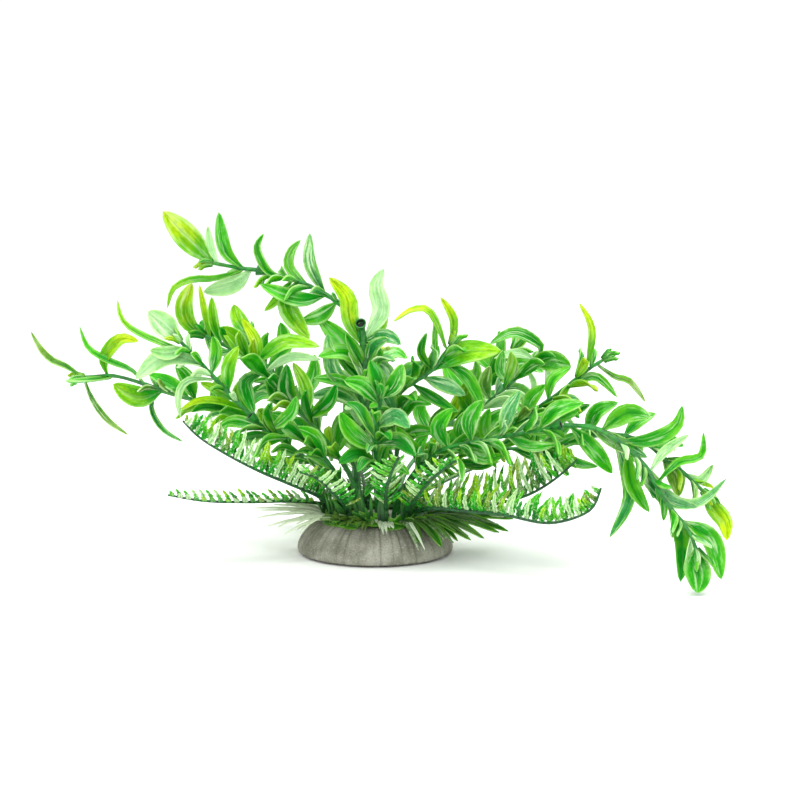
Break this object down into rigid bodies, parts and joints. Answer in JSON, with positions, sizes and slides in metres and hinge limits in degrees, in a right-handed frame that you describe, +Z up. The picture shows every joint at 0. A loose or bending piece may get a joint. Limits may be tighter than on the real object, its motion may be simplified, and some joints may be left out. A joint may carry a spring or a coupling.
{
  "type": "artificial aquarium plant",
  "caption": "Moulded plastic ludwigia sprays with small fern fronds and a needle-leaf rosette, spreading low and wide from a grooved cast disc foot.",
  "frame": {"origin": "middle of the disc foot's flat underside", "axes": "+Z up, +X to the right as seen from the front, -Y to the front"},
  "size_m": [0.2816, 0.1522, 0.1366],
  "materials": {
    "stone": "rough cast",
    "deep_green": "moulded satin",
    "green": "moulded satin",
    "yellow_green": "moulded satin",
    "blue_green": "moulded satin",
    "pale_green": "frosted"
  },
  "bodies": {
    "root": {"base_disc": "stone", "trunk": "deep_green", "top_left_spray": "green", "top_left_tip": "yellow_green", "left_spray": "green", "left_spray_tip": "green", "far_left_spray": "deep_green", "far_left_tip": "blue_green", "left_centre_spray": "green", "upper_centre_spray": "green", "right_centre_spray": "blue_green", "right_spray": "green", "right_outer_spray": "deep_green", "right_outer_tip": "yellow_green", "drooping_spray": "green", "drooping_tip": "blue_green", "front_spray": "deep_green", "back_left_spray": "green", "back_spray": "deep_green", "back_right_spray": "green", "fern_left_rising": "green", "fern_left_low": "green", "fern_right_rising": "green", "fern_right_low": "green", "fern_front": "green", "fern_front_left": "green", "fern_front_right": "green", "fern_back_left": "green", "fern_back": "green", "fern_back_right": "green", "needles_left": "pale_green", "needles_front": "pale_green", "needles_right": "pale_green", "needles_back": "pale_green"}
  },
  "joints": []
}
